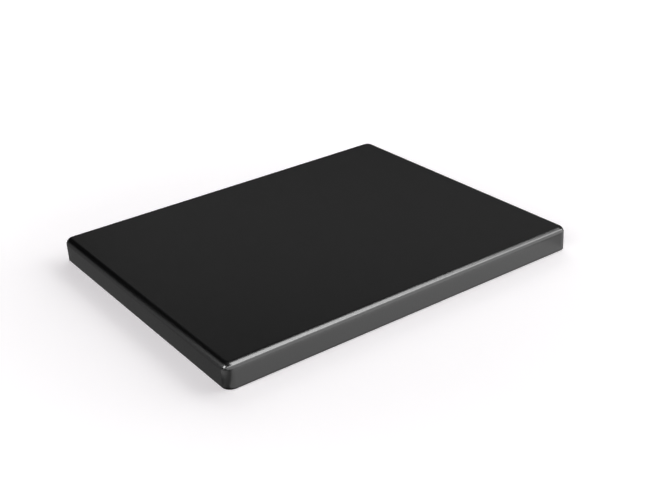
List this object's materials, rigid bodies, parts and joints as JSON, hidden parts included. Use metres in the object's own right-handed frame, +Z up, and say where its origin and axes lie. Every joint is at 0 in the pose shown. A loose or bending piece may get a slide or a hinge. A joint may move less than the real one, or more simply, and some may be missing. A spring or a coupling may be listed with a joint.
{
  "type": "cutting board",
  "caption": "Rectangular plastic cutting board: a thick black slab with rounded top edges and corners, standing on low push-in rubber feet.",
  "frame": {"origin": "on the worktop, under the middle of the board, at the height of the soles of the feet", "axes": "+X along the long side, +Y along the short side towards the back, +Z up out of the work face"},
  "size_m": [0.325, 0.265, 0.0204],
  "materials": {
    "board_plastic": "black high-density polyethylene, satin with a very fine grain",
    "foot_rubber": "black thermoplastic rubber, matt"
  },
  "bodies": {
    "root": {"board": "board_plastic", "foot_front_left": "foot_rubber", "foot_front_right": "foot_rubber", "foot_back_left": "foot_rubber", "foot_back_right": "foot_rubber"}
  },
  "joints": []
}
